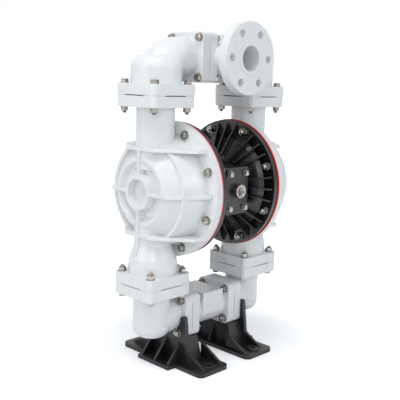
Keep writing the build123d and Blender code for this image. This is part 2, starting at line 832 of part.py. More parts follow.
with BuildPart() as suction_tee_bolts:
    with Locations(
        *manifold_places(suction_head_x, suction_axis_height, suction_bolt_offset, (1,), inward)
    ):
        add(tee_bolt)
    with Locations(
        *manifold_places(
            suction_head_x + ear_thickness, suction_axis_height, suction_bolt_offset, (-1,), inward
        )
    ):
        add(foot_bolt)
finish(suction_tee_bolts, "suction_tee_bolts")

with BuildPart() as suction_tee_nuts:
    with Locations(
        *manifold_places(suction_head_x - tee_grip, suction_axis_height, suction_bolt_offset, (-1, 1), inward)
    ):
        add(nut)
finish(suction_tee_nuts, "suction_tee_nuts")

# ---- Foot --------------------------------------------------------------------
ear_inner = suction_head_x
ear_outer = ear_inner + ear_thickness
joint_underside = suction_axis_height - suction_plate_size / 2
cradle_radius = pipe_radius + cradle_gap
fin_inner = ear_fin_outer - ear_fin_width

with BuildPart() as foot:
    with BuildSketch(Plane.XY):
        with Locations(((foot_inner_edge + foot_outer_edge) / 2, 0)):
            RectangleRounded(foot_outer_edge - foot_inner_edge, 2 * foot_half_length, foot_corner)
        with Locations(((ear_inner + foot_toe_reach) / 2, 0)):
            Rectangle(foot_toe_reach - ear_inner, 2 * foot_toe_half)
    extrude(amount=foot_base_thickness)
    # Ear plate with a cradle for the elbow.
    with BuildSketch(Plane(origin=(ear_inner, 0, 0), x_dir=(0, 1, 0), z_dir=(1, 0, 0))):
        Polygon(
            (-ear_root_half, 0),
            (-ear_fin_outer, ear_height),
            (-fin_inner, ear_height),
            (-fin_inner, suction_axis_height),
            (fin_inner, suction_axis_height),
            (fin_inner, ear_height),
            (ear_fin_outer, ear_height),
            (ear_root_half, 0),
            align=None,
        )
        with Locations((0, suction_axis_height)):
            Circle(cradle_radius, mode=Mode.SUBTRACT)
    extrude(amount=ear_thickness)
    # Hollow block under the joint plates.
    with BuildSketch(Plane(origin=(foot_block_inner, 0, 0), x_dir=(0, 1, 0), z_dir=(1, 0, 0))):
        Polygon(
            (-foot_block_root_half, 0),
            (-foot_block_top_half, joint_underside),
            (foot_block_top_half, joint_underside),
            (foot_block_root_half, 0),
            align=None,
        )
    extrude(amount=ear_inner - foot_block_inner)
    with BuildSketch(Plane.XY):
        with Locations(((foot_block_inner + ear_inner) / 2, 0)):
            Rectangle(ear_inner - foot_block_inner - 2 * foot_block_wall, 2 * (foot_block_top_half - 8))
    extrude(amount=joint_underside - foot_block_wall, mode=Mode.SUBTRACT)
    # Thin upright rib on the inboard side.
    with BuildSketch(Plane.XZ.offset(-gusset_thickness / 2)):
        Polygon(
            (foot_block_inner + 1, joint_underside - 6),
            (foot_block_inner + 1, foot_base_thickness - 1),
            (foot_inner_edge + 6, foot_base_thickness - 1),
            align=None,
        )
    extrude(amount=gusset_thickness)
    # Three gussets from the ear to the outboard toe.
    for gusset_y in (-foot_toe_half + 8, 0, foot_toe_half - 8):
        with BuildSketch(Plane.XZ.offset(-gusset_y - gusset_thickness / 2)):
            Polygon(
                (ear_outer - 1, suction_axis_height - cradle_radius - 12),
                (ear_outer - 1, foot_base_thickness - 1),
                (foot_toe_reach - 4, foot_base_thickness - 1),
                align=None,
            )
        extrude(amount=gusset_thickness)
    # Side gussets of the front and rear wings.
    for wing in (-1, 1):
        for gusset_x in (foot_inner_edge + 8, ear_inner + 2):
            with BuildSketch(Plane(origin=(gusset_x, 0, 0), x_dir=(0, 1, 0), z_dir=(1, 0, 0))):
                Polygon(
                    (wing * (foot_block_root_half - 14), foot_base_thickness - 1),
                    (wing * (foot_block_root_half - 14), gusset_height),
                    (wing * (foot_half_length - 12), foot_base_thickness - 1),
                    align=None,
                )
            extrude(amount=gusset_thickness)
    # Anchor holes with raised bosses.
    with BuildSketch(Plane.XY.offset(foot_base_thickness)):
        with Locations((anchor_x, -anchor_y), (anchor_x, anchor_y)):
            Circle(anchor_boss_radius)
    extrude(amount=anchor_boss_height)
    with BuildSketch(Plane.XY):
        with Locations((anchor_x, -anchor_y), (anchor_x, anchor_y)):
            Circle(anchor_hole)
    extrude(amount=foot_base_thickness + anchor_boss_height, mode=Mode.SUBTRACT)
    with BuildSketch(Plane(origin=(ear_inner, 0, suction_axis_height), x_dir=(0, 1, 0), z_dir=(1, 0, 0))):
        with Locations((-suction_bolt_offset, -suction_bolt_offset), (suction_bolt_offset, -suction_bolt_offset)):
            Circle(hole_radius)
    extrude(amount=ear_thickness, mode=Mode.SUBTRACT)
finish_pair(foot, "foot")

# ---- Centre body -------------------------------------------------------------
bush_radius = rod_radius + bush_wall
sleeve_radius = spool_radius + sleeve_wall
cover_front = block_front + cover_thickness
exhaust_y = centre_band_radius


def port_plane(y):
    # Plane facing -Y at this distance in front of the pump axis.
    return Plane(origin=(0, -y, pump_axis_height), x_dir=(1, 0, 0), z_dir=(0, -1, 0))


with BuildPart() as centre_body:
    with BuildSketch(pump_section(0)):
        Polygon(
            (-centre_half, 0),
            (-centre_half, centre_radius),
            (-centre_band_half, centre_radius),
            (-centre_band_half, centre_band_radius),
            (centre_band_half, centre_band_radius),
            (centre_band_half, centre_radius),
            (centre_half, centre_radius),
            (centre_half, 0),
            align=None,
        )
    revolve(axis=pump_axis)
    with BuildSketch(port_plane(0)):
        RectangleRounded(2 * block_half_width, 2 * block_half_height, 6)
    extrude(amount=block_front)
    # Rod bore, bush seats, spool bore, pilot bore and the air ways.
    with BuildSketch(across(-centre_half)):
        Circle(bush_radius)
    extrude(amount=2 * centre_half, mode=Mode.SUBTRACT)
    with BuildSketch(across(-block_half_width)):
        with Locations((spool_axis_y, 0)):
            Circle(sleeve_radius)
    extrude(amount=2 * block_half_width, mode=Mode.SUBTRACT)
    with BuildSketch(across(-centre_half)):
        with Locations((0, -pilot_drop)):
            Circle(pilot_radius + rod_fit)
    extrude(amount=2 * centre_half, mode=Mode.SUBTRACT)
    with BuildSketch(port_plane(-spool_axis_y)):
        Circle(air_passage_radius)
    extrude(amount=block_front + spool_axis_y, mode=Mode.SUBTRACT)
    with BuildSketch(port_plane(block_front - 20)):
        with GridLocations(2 * cover_screw_x, 2 * cover_screw_z, 2, 2):
            Circle(cover_screw_radius + thread_gap)
    extrude(amount=20, mode=Mode.SUBTRACT)
    with BuildSketch(port_plane(-exhaust_y)):
        Circle(muffler_neck_radius + thread_gap)
    extrude(amount=24, mode=Mode.SUBTRACT)
finish(centre_body, "centre_body")

with BuildPart() as valve_cover:
    with BuildSketch(port_plane(block_front)):
        RectangleRounded(2 * block_half_width, 2 * block_half_height, 6)
        Circle(fitting_shank_radius + thread_gap, mode=Mode.SUBTRACT)
        with GridLocations(2 * cover_screw_x, 2 * cover_screw_z, 2, 2):
            Circle(cover_screw_radius + hole_gap, mode=Mode.SUBTRACT)
    extrude(amount=cover_thickness)
finish(valve_cover, "valve_cover")

cover_screw = hex_bolt(cover_thickness + 18, cover_screw_radius, cover_screw_flats, cover_screw_head)
with BuildPart() as valve_cover_screws:
    with Locations(
        *[
            Location((x, -cover_front, pump_axis_height + z), (-90, 0, 0))
            for x in (-cover_screw_x, cover_screw_x)
            for z in (-cover_screw_z, cover_screw_z)
        ]
    ):
        add(cover_screw)
finish(valve_cover_screws, "valve_cover_screws")

with BuildPart() as air_inlet_fitting:
    with BuildSketch(port_plane(cover_front)):
        Circle(fitting_radius)
    extrude(amount=fitting_length)
    with BuildSketch(port_plane(block_front)):
        Circle(fitting_shank_radius)
    extrude(amount=cover_thickness)
    with BuildSketch(port_plane(block_front)):
        Circle(fitting_bore)
    extrude(amount=cover_thickness + fitting_length, mode=Mode.SUBTRACT)
finish(air_inlet_fitting, "air_inlet_fitting")

# ---- Exhaust muffler at the back ---------------------------------------------
muffler_plane = Plane(origin=(0, exhaust_y, pump_axis_height), x_dir=(-1, 0, 0), z_dir=(0, 1, 0))
with BuildPart() as exhaust_muffler:
    with BuildSketch(muffler_plane.offset(-22)):
        Circle(muffler_neck_radius)
    extrude(amount=30)
    with BuildSketch(muffler_plane.offset(2)):
        Circle(muffler_radius)
    extrude(amount=muffler_length)
    for slot_step in range(6):
        with BuildSketch(muffler_plane.offset(14 + 10 * slot_step)):
            Circle(muffler_radius + 1)
            Circle(muffler_radius - 5, mode=Mode.SUBTRACT)
        extrude(amount=4, mode=Mode.SUBTRACT)
finish(exhaust_muffler, "exhaust_muffler")

# ---- Diaphragm rod and its plates ---------------------------------------------
inner_washer_face = diaphragm_hub - inner_washer_thickness
outer_washer_face = diaphragm_hub + diaphragm_thickness
screw_head_face = outer_washer_face + outer_washer_thickness

with BuildPart() as diaphragm_rod:
    with BuildSketch(across(-inner_washer_face)):
        Circle(rod_radius)
    extrude(amount=2 * inner_washer_face)
    with BuildSketch(across(-inner_washer_face)):
        Circle(rod_screw_radius + rod_fit)
    extrude(amount=rod_screw_reach, mode=Mode.SUBTRACT)
    with BuildSketch(across(inner_washer_face - rod_screw_reach)):
        Circle(rod_screw_radius + rod_fit)
    extrude(amount=rod_screw_reach, mode=Mode.SUBTRACT)
finish(diaphragm_rod, "diaphragm_rod")

with BuildPart() as inner_washer:
    with BuildSketch(across(inner_washer_face)):
        Circle(inner_washer_radius)
        Circle(rod_screw_radius + rod_fit, mode=Mode.SUBTRACT)
    extrude(amount=inner_washer_thickness)
finish_pair(inner_washer, "inner_washer")

with BuildPart() as outer_washer:
    with BuildSketch(pump_section(0)):
        Polygon(
            (outer_washer_face, rod_screw_radius + rod_fit),
            (outer_washer_face, outer_washer_radius - 4),
            (outer_washer_face + 4, outer_washer_radius),
            (screw_head_face, outer_washer_radius - 16),
            (screw_head_face, rod_screw_radius + rod_fit),
            align=None,
        )
    revolve(axis=pump_axis)
finish_pair(outer_washer, "outer_washer")

with BuildPart() as rod_screw:
    with BuildSketch(across(screw_head_face)):
        RegularPolygon(rod_radius, 6, major_radius=False)
    extrude(amount=rod_screw_head)
    with BuildSketch(across(screw_head_face)):
        Circle(rod_screw_radius)
    extrude(amount=inner_washer_face + 4 - rod_screw_reach - screw_head_face)
finish_pair(rod_screw, "rod_screw")

with BuildPart() as rod_bush:
    with BuildSketch(across(centre_half + air_hub_thickness - bush_length)):
        Circle(bush_radius)
        Circle(rod_radius + rod_fit, mode=Mode.SUBTRACT)
    extrude(amount=bush_length)
finish_pair(rod_bush, "rod_bush")

with BuildPart() as rod_seal:
    with BuildSketch(across(centre_half + air_hub_thickness - bush_length - seal_width)):
        Circle(bush_radius)
        Circle(rod_radius + rod_fit, mode=Mode.SUBTRACT)
    extrude(amount=seal_width)
finish_pair(rod_seal, "rod_seal")

# ---- Air valve: sleeve, spool, end caps and pilot pin -------------------------
with BuildPart() as spool_sleeve:
    with BuildSketch(across(-sleeve_half)):
        with Locations((spool_axis_y, 0)):
            Circle(sleeve_radius)
            Circle(spool_radius + rod_fit, mode=Mode.SUBTRACT)
    extrude(amount=2 * sleeve_half)
finish(spool_sleeve, "spool_sleeve")

land = spool_half / 4
spool_steps = (
    (-spool_half, spool_radius),
    (-3 * land, spool_radius - 4),
    (-land, spool_radius),
    (land, spool_radius - 4),
    (3 * land, spool_radius),
)
spool_lengths = (land, 2 * land, 2 * land, 2 * land, land)
with BuildPart() as main_spool:
    for (start, radius), length in zip(spool_steps, spool_lengths):
        with BuildSketch(across(start)):
            with Locations((spool_axis_y, 0)):
                Circle(radius)
        extrude(amount=length)
finish(main_spool, "main_spool")

with BuildPart() as spool_end_caps:
    with BuildSketch(across(-block_half_width), across(sleeve_half)):
        with Locations((spool_axis_y, 0)):
            Circle(sleeve_radius)
    extrude(amount=block_half_width - sleeve_half)
finish(spool_end_caps, "spool_end_caps")

pilot_half = inner_washer_face - rod_stroke + pilot_travel - running_gap
with BuildPart() as pilot_pin:
    with BuildSketch(across(-pilot_half)):
        with Locations((0, -pilot_drop)):
            Circle(pilot_radius)
    extrude(amount=2 * pilot_half)
finish(pilot_pin, "pilot_pin")

# ---- Sealing rings of the manifold joints --------------------------------------
manifold_seal_thickness = 2 * relief_depth
for name, face_x, axis_height in (
    ("discharge", discharge_face, discharge_axis_height),
    ("suction", suction_face, suction_axis_height),
):
    seal_planes = [
        Plane(origin=(side * face_x - relief_depth, 0, axis_height), z_dir=(1, 0, 0)) for side in (-1, 1)
    ]
    with BuildPart() as manifold_seals:
        with BuildSketch(*seal_planes):
            Circle(bore_radius + manifold_seal_width)
            Circle(bore_radius, mode=Mode.SUBTRACT)
        extrude(amount=manifold_seal_thickness)
    finish(manifold_seals, f"{name}_tee_seals")
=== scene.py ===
import json
import math

import bmesh
import bpy
from mathutils import Matrix, Vector


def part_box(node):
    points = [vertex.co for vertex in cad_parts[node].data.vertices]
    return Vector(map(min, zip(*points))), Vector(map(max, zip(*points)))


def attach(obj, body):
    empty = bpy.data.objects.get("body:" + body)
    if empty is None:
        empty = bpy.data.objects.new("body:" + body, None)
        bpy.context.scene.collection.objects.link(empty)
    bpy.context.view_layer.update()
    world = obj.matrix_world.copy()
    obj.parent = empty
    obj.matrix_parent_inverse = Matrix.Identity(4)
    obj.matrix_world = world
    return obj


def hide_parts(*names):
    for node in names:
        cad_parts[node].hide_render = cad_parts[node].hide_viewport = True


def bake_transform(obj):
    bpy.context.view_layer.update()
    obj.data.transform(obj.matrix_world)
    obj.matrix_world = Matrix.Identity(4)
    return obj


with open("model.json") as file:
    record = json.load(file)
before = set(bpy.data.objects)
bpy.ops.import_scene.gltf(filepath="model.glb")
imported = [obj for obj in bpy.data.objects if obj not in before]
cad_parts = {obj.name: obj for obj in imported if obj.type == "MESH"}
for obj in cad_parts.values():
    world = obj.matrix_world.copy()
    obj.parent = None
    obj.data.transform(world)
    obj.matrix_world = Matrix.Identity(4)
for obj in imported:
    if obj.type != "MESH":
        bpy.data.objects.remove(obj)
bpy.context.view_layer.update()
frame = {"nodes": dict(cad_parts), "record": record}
nodes = frame["nodes"]
millimetre = 0.001
print("frame loaded with", len(nodes), "nodes")


def hexToLinear(text):
    channels = [int(text[i:i + 2], 16) / 255 for i in (1, 3, 5)]
    linear = [c / 12.92 if c <= 0.04045 else ((c + 0.055) / 1.055) ** 2.4 for c in channels]
    return (*linear, 1.0)


def addNode(tree, kind, settings=None, values=None, links=None):
    node = tree.nodes.new(kind)
    for name, value in (settings or {}).items():
        setattr(node, name, value)
    for socket, value in (values or {}).items():
        node.inputs[socket].default_value = value
    for socket, source in (links or {}).items():
        tree.links.new(source, node.inputs[socket])
    return node


def noiseScale(sizeInMillimetres):
    return 1.0 / (sizeInMillimetres * millimetre)


# what all the finishes share; noise seldom leaves the span from noiseLow to noiseHigh
pattern = {
    "driftDetail": 2.0, "glossDetail": 3.0, "grainDetail": 2.0,
    "noiseLow": 0.3, "noiseHigh": 0.7, "edgeSamples": 6,
}


def colourPatches(tree, shader, place, spec):
    # slow drift between two colours; on the steel the two are far apart and the patches are painted
    # reflections
    detail = spec.get("driftDetail", pattern["driftDetail"])
    values = {"Scale": noiseScale(spec["drift"]), "Detail": detail}
    noise = addNode(tree, "ShaderNodeTexNoise", None, values, {"Vector": place})
    colours = {6: hexToLinear(spec["light"]), 7: hexToLinear(spec["shade"])}
    mix = addNode(tree, "ShaderNodeMix", {"data_type": "RGBA"}, colours, {0: noise.outputs["Fac"]})
    tree.links.new(mix.outputs[2], shader.inputs["Base Color"])


def roughnessPatches(tree, shader, place, spec):
    values = {"Scale": noiseScale(spec["glossPatch"]), "Detail": pattern["glossDetail"]}
    noise = addNode(tree, "ShaderNodeTexNoise", None, values, {"Vector": place})
    low, high = spec["roughness"]
    values = {
        "From Min": pattern["noiseLow"], "From Max": pattern["noiseHigh"],
        "To Min": low, "To Max": high,
    }
    spread = addNode(tree, "ShaderNodeMapRange", None, values, {"Value": noise.outputs["Fac"]})
    tree.links.new(spread.outputs["Result"], shader.inputs["Roughness"])


def surfaceRelief(tree, shader, place, spec):
    # grain over softened edges; the real grain is finer and is drawn coarse enough to show
    settings = {"samples": pattern["edgeSamples"]}
    edge = addNode(tree, "ShaderNodeBevel", settings, {"Radius": spec["edge"] * millimetre})
    values = {"Scale": noiseScale(spec["grain"]), "Detail": pattern["grainDetail"]}
    grainNoise = addNode(tree, "ShaderNodeTexNoise", None, values, {"Vector": place})
    bump = addNode(
        tree, "ShaderNodeBump", None,
        {"Strength": 1.0, "Distance": spec["grainDepth"] * millimetre},
        {"Height": grainNoise.outputs["Fac"], "Normal": edge.outputs["Normal"]},
    )
    tree.links.new(bump.outputs["Normal"], shader.inputs["Normal"])


def makeFinish(name, spec):
    material = bpy.data.materials.new(name)
    material.use_nodes = True
    tree = material.node_tree
    shader = tree.nodes["Principled BSDF"]
    place = addNode(tree, "ShaderNodeTexCoord").outputs["Object"]
    colourPatches(tree, shader, place, spec)
    roughnessPatches(tree, shader, place, spec)
    surfaceRelief(tree, shader, place, spec)
    for socket, value in spec["shader"].items():
        shader.inputs[socket].default_value = value
    return material


# each finish: sizes of its patterns and its edge radius in millimetres

# injection moulded natural polypropylene: milky, a little light inside it, satin gloss
mouldedPolypropylene = {
    "light": "#EFF0EE", "shade": "#E6E8E8", "drift": 70,
    "glossPatch": 18, "roughness": (0.26, 0.36), "grain": 2.5, "grainDepth": 0.010, "edge": 2.2,
    "shader": {
        "IOR": 1.49, "Subsurface Weight": 0.22, "Subsurface Radius": (1.0, 0.92, 0.82),
        "Subsurface Scale": 6 * millimetre,
    },
}

# glass filled polypropylene from a polished mould: near black with a semi gloss skin
blackFilledPlastic = {
    "light": "#08090B", "shade": "#0E0F12", "drift": 40,
    "glossPatch": 9, "roughness": (0.22, 0.34), "grain": 1.6, "grainDepth": 0.012, "edge": 1.2,
    "shader": {"IOR": 1.52},
}

# glass filled nylon, moulded with a spark eroded texture: dull satin black
blackFootPlastic = {
    "light": "#0B0C0E", "shade": "#121316", "drift": 30,
    "glossPatch": 12, "roughness": (0.36, 0.50), "grain": 1.1, "grainDepth": 0.02, "edge": 1.8,
    "shader": {"IOR": 1.53},
}

# cold formed A2 stainless: warm grey metal, fine draw marks; its colour changes in small patches
# from light to dark grey, painted reflections standing in for the dark and bright surroundings a
# real bolt mirrors
formedStainlessSteel = {
    "light": "#C2BDB6", "shade": "#5E5953", "drift": 5, "driftDetail": 3.0,
    "glossPatch": 3, "roughness": (0.14, 0.28), "grain": 0.9, "grainDepth": 0.015, "edge": 0.35,
    "shader": {"Metallic": 1.0},
}

# compression moulded thermoplastic rubber: strong orange red, soft sheen
mouldedRedElastomer = {
    "light": "#F2371D", "shade": "#E22D16", "drift": 25,
    "glossPatch": 10, "roughness": (0.42, 0.55), "grain": 1.2, "grainDepth": 0.015, "edge": 0.4,
    "shader": {"IOR": 1.5},
}

# skived and turned PTFE: dull dead white
turnedPtfe = {
    "light": "#EFEFEA", "shade": "#E4E4DE", "drift": 20,
    "glossPatch": 8, "roughness": (0.45, 0.6), "grain": 0.8, "grainDepth": 0.01, "edge": 0.4,
    "shader": {"IOR": 1.35},
}

# turned tin bronze with faint tool marks
turnedBronze = {
    "light": "#B08A4E", "shade": "#8C6A36", "drift": 9,
    "glossPatch": 4, "roughness": (0.25, 0.4), "grain": 0.7, "grainDepth": 0.01, "edge": 0.3,
    "shader": {"Metallic": 1.0},
}

# moulded nitrile rubber: soft black with a low sheen
mouldedNitrileRubber = {
    "light": "#121212", "shade": "#1B1B1C", "drift": 15,
    "glossPatch": 6, "roughness": (0.5, 0.65), "grain": 0.9, "grainDepth": 0.01, "edge": 0.3,
    "shader": {},
}

finishes = {
    "white_polypropylene": makeFinish("mouldedPolypropylene", mouldedPolypropylene),
    "black_glass_filled_plastic": makeFinish("blackFilledPlastic", blackFilledPlastic),
    "black_foot_plastic": makeFinish("blackFootPlastic", blackFootPlastic),
    "stainless_steel": makeFinish("formedStainlessSteel", formedStainlessSteel),
    "red_diaphragm_rubber": makeFinish("mouldedRedElastomer", mouldedRedElastomer),
    "ptfe": makeFinish("turnedPtfe", turnedPtfe),
    "seat_polypropylene": makeFinish("turnedPtfe", turnedPtfe),  # turned seats, as dull and white
    "bronze": makeFinish("turnedBronze", turnedBronze),
    "black_rubber": makeFinish("mouldedNitrileRubber", mouldedNitrileRubber),
}

for entry in frame["record"]["subparts"]:
    mesh = nodes[entry["node"]].data
    mesh.materials.clear()
    mesh.materials.append(finishes[entry["material_slot"]])
print("materials set on the model's own pieces")


def ringBridge(mesh, ringA, ringB):
    count = len(ringA)
    for i in range(count):
        j = (i + 1) % count
        mesh.faces.new((ringA[i], ringA[j], ringB[j], ringB[i]))


def latheInto(mesh, profile, segments, matrix):
    # turns a list of (radius, height) round the local Z axis; a closed profile makes a closed skin
    rings = []
    for radius, height in profile:
        ring = []
        for step in range(segments):
            angle = 2 * math.pi * step / segments
            point = Vector((radius * math.cos(angle), radius * math.sin(angle), height))
            ring.append(mesh.verts.new(matrix @ point))
        rings.append(ring)
    for ringA, ringB in zip(rings, rings[1:]):
        ringBridge(mesh, ringA, ringB)
    return rings


# the turned top of a hexagon: its shares of the chamfer, of the flats and of the hole
hexTop = {"segments": 36, "leastDrop": 0.25, "crown": 0.95, "sinkWidth": 1.15, "sinkDepth": 0.15}


def hexInto(mesh, flats, bottom, top, chamfer, holeRadius, matrix):
    # hexagon with the turned chamfer of a cold formed nut; a hole radius of 0 makes a head
    segments = hexTop["segments"]
    inner = flats / 2
    corner = inner / math.cos(math.pi / 6)

    def hexRadius(angle):
        folded = (angle + math.pi / 6) % (math.pi / 3) - math.pi / 6
        return inner / math.cos(folded)

    levels = []
    for level in ("base", "shoulder", "crown"):
        ring = []
        for step in range(segments):
            angle = 2 * math.pi * step / segments
            radius = hexRadius(angle)
            drop = chamfer * (radius - inner) / (corner - inner) + chamfer * hexTop["leastDrop"]
            if level == "base":
                height = bottom
            elif level == "shoulder":
                height = top - drop
            else:
                radius = inner * hexTop["crown"]
                height = top
            point = Vector((radius * math.cos(angle), radius * math.sin(angle), height))
            ring.append(mesh.verts.new(matrix @ point))
        levels.append(ring)
    ringBridge(mesh, levels[0], levels[1])
    ringBridge(mesh, levels[1], levels[2])
    if holeRadius > 0:
        sink = top - holeRadius * hexTop["sinkDepth"]
        hole = [(holeRadius * hexTop["sinkWidth"], top), (holeRadius, sink), (holeRadius, bottom)]
        countersink = latheInto(mesh, hole, segments, matrix)
        ringBridge(mesh, levels[2], countersink[0])
        ringBridge(mesh, countersink[-1], levels[0])
    else:
        mesh.faces.new(levels[2])
        mesh.faces.new(list(reversed(levels[0])))


smoothAngle = 35  # degrees; sharper edges stay crisp
weldGap = 1e-6


def finishMesh(mesh, name, material, body):
    bmesh.ops.recalc_face_normals(mesh, faces=mesh.faces)
    data = bpy.data.meshes.new(name)
    mesh.to_mesh(data)
    mesh.free()
    piece = bpy.data.objects.new(name, data)
    bpy.context.scene.collection.objects.link(piece)
    data.materials.append(material)
    data.shade_smooth()
    data.set_sharp_from_angle(angle=math.radians(smoothAngle))
    if body:
        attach(piece, body)
    return piece


def looseBoxes(nodeName):
    # lowest and highest corner of each separate solid in a node
    mesh = bmesh.new()
    mesh.from_mesh(nodes[nodeName].data)
    bmesh.ops.remove_doubles(mesh, verts=mesh.verts, dist=weldGap)
    seen = set()
    boxes = []
    for start in mesh.verts:
        if start in seen:
            continue
        island = [start]
        seen.add(start)
        for vertex in island:
            for edge in vertex.link_edges:
                other = edge.other_vert(vertex)
                if other not in seen:
                    seen.add(other)
                    island.append(other)
        lowest = Vector([min(v.co[i] for v in island) for i in range(3)])
        highest = Vector([max(v.co[i] for v in island) for i in range(3)])
        boxes.append((lowest, highest))
    mesh.free()
    return boxes


def placeAlong(box, direction):
    # local Z along direction, origin in the middle of the box face that it starts from
    lowest, highest = box
    centre = (lowest + highest) / 2
    reach = abs((highest - lowest).dot(direction))
    start = centre - direction * reach / 2
    turn = direction.to_track_quat("Z", "Y").to_matrix().to_4x4()
    return Matrix.Translation(start) @ turn, reach


def inward(box):
    return Vector((-1, 0, 0)) if (box[0].x + box[1].x) > 0 else Vector((1, 0, 0))


down, up, back = Vector((0, 0, -1)), Vector((0, 0, 1)), Vector((0, 1, 0))

hexBolt = {
    "flats": 16, "head": 7, "washer": 2, "washerRadius": 10, "radius": 5,
    "pitch": 1.5, "threaded": 24, "chamfer": 1.0,
}
coverScrew = {
    "flats": 13, "head": 6, "washer": 2, "washerRadius": 8, "radius": 4,
    "pitch": 1.25, "threaded": 12, "chamfer": 0.8,
}
washerShape = {"edge": 0.25 * millimetre, "segments": 40}
boltTurn = 17  # degrees from one bolt to the next, as each is stopped at its own angle

# shares of the radius for the plain shank and the point, and of the pitch for the thread
threadShape = {
    "shank": 0.97, "point": 0.85, "rootDepth": 0.6, "rootRise": 0.25, "crestStart": 0.6,
    "crestEnd": 0.75, "runOut": 1.5, "lastRoot": 0.3, "pointStart": 0.2, "segments": 20,
}


def washerProfile(mm, inner, bottom):
    rim, edge = mm["washerRadius"], washerShape["edge"]
    top = bottom + mm["washer"]
    return [
        (inner, bottom), (rim - edge, bottom), (rim, bottom + edge),
        (rim, top - edge), (rim - edge, top), (inner, top),
    ]


def boltInto(mesh, size, length, matrix):
    mm = {key: value * millimetre for key, value in size.items()}
    top = mm["head"]
    flipped = matrix @ Matrix.Translation((0, 0, top)) @ Matrix.Rotation(math.pi, 4, "X")
    hexInto(mesh, mm["flats"], 0.0, top, mm["chamfer"], 0, flipped)
    rings = latheInto(mesh, washerProfile(mm, mm["radius"], top), washerShape["segments"], matrix)
    ringBridge(mesh, rings[-1], rings[0])
    # plain shank, then rolled thread drawn as rings one pitch apart
    pitch, share = mm["pitch"], threadShape
    shank = [(mm["radius"] * share["shank"], top + mm["washer"] / 2)]
    height = length - mm["threaded"]
    root = mm["radius"] - share["rootDepth"] * pitch
    shank.append((mm["radius"] * share["shank"], height))
    while height < length - share["runOut"] * pitch:
        shank.append((root, height + share["rootRise"] * pitch))
        shank.append((mm["radius"], height + share["crestStart"] * pitch))
        shank.append((mm["radius"], height + share["crestEnd"] * pitch))
        height += pitch
    shank.append((root, height + share["lastRoot"] * pitch))
    shank.append((root, length - share["pointStart"] * pitch))
    shank.append((root * share["point"], length))
    ends = latheInto(mesh, shank, share["segments"], matrix)
    mesh.faces.new(list(reversed(ends[0])))
    mesh.faces.new(ends[-1])


boltGroups = {
    "discharge_joint_bolts": (hexBolt, lambda box: down),
    "suction_joint_bolts": (hexBolt, lambda box: up),
    "discharge_tee_bolts": (hexBolt, inward),
    "suction_tee_bolts": (hexBolt, inward),
    "clamp_bolts_left": (hexBolt, inward),
    "clamp_bolts_right": (hexBolt, inward),
    "valve_cover_screws": (coverScrew, lambda box: back),
}

for nodeName, (size, direction) in boltGroups.items():
    mesh = bmesh.new()
    for index, box in enumerate(looseBoxes(nodeName)):
        matrix, length = placeAlong(box, direction(box))
        spin = Matrix.Rotation(math.radians(boltTurn * index), 4, "Z")
        boltInto(mesh, size, length, matrix @ spin)
    piece = finishMesh(mesh, "formed_" + nodeName, finishes["stainless_steel"], "pump")
    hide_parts(nodeName)
print("bolts and screws made")

hexNut = {
    "flats": 16, "height": 8.5, "washer": 2, "washerRadius": 10, "hole": 5.05, "chamfer": 1.0,
}
nutTurn = 23  # degrees from one nut to the next


def nutInto(mesh, size, matrix):
    mm = {key: value * millimetre for key, value in size.items()}
    rings = latheInto(mesh, washerProfile(mm, mm["hole"], 0.0), washerShape["segments"], matrix)
    ringBridge(mesh, rings[-1], rings[0])
    bottom, top = mm["washer"], mm["washer"] + mm["height"]
    hexInto(mesh, mm["flats"], bottom, top, mm["chamfer"], mm["hole"], matrix)


nutGroups = {
    "discharge_joint_nuts": lambda box: down,
    "suction_joint_nuts": lambda box: up,
    "discharge_tee_nuts": inward,
    "suction_tee_nuts": inward,
    "clamp_nuts_left": inward,
    "clamp_nuts_right": inward,
}

for nodeName, direction in nutGroups.items():
    mesh = bmesh.new()
    for index, box in enumerate(looseBoxes(nodeName)):
        matrix, _ = placeAlong(box, direction(box))
        spin = Matrix.Rotation(math.radians(nutTurn * index), 4, "Z")
        nutInto(mesh, hexNut, matrix @ spin)
    piece = finishMesh(mesh, "formed_" + nodeName, finishes["stainless_steel"], "pump")
    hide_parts(nodeName)
print("nuts made")

# the bead sits in its clamp
diaphragmShape = {
    "hubRadius": 6.05, "plateRadius": 49, "plateStep": 4, "beadInner": 117, "bead": 3, "sheet": 5,
    "steps": 26, "segments": 160,
}
pumpHeight = (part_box("diaphragm_right")[0].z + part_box("diaphragm_right")[1].z) / 2


def makeDiaphragm(side):
    nodeName = "diaphragm_right" if side > 0 else "diaphragm_left"
    lowest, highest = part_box(nodeName)
    outer = highest.y
    hubX = min(abs(lowest.x), abs(highest.x))
    beadOutX = max(abs(lowest.x), abs(highest.x))
    spec = {key: value * millimetre for key, value in diaphragmShape.items()}
    beadInX = beadOutX - spec["bead"]
    liquidX = hubX + spec["sheet"]
    airSide = [(spec["hubRadius"], hubX), (spec["plateRadius"], hubX)]
    liquidSide = [(spec["hubRadius"], liquidX), (spec["plateRadius"] - spec["plateStep"], liquidX)]
    steps = diaphragmShape["steps"]
    for step in range(1, steps):
        t = step / steps
        ease = t * t * (3 - 2 * t)  # rises from the plate to the bead without turning back
        radius = spec["plateRadius"] + (spec["beadInner"] - spec["plateRadius"]) * t
        airSide.append((radius, hubX + (beadInX - hubX) * ease))
        liquidSide.append((radius, liquidX + (beadOutX - liquidX) * ease))
    airSide += [(spec["beadInner"], beadInX), (outer, beadInX)]
    liquidSide += [(spec["beadInner"], beadOutX), (outer, beadOutX)]
    profile = airSide + list(reversed(liquidSide))
    turn = Matrix.Translation((0, 0, pumpHeight)) @ Matrix.Rotation(math.radians(90 * side), 4, "Y")
    mesh = bmesh.new()
    rings = latheInto(mesh, profile, diaphragmShape["segments"], turn)
    ringBridge(mesh, rings[-1], rings[0])
    piece = finishMesh(mesh, "moulded_" + nodeName, finishes["red_diaphragm_rubber"], None)
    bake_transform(piece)
    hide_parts(nodeName)


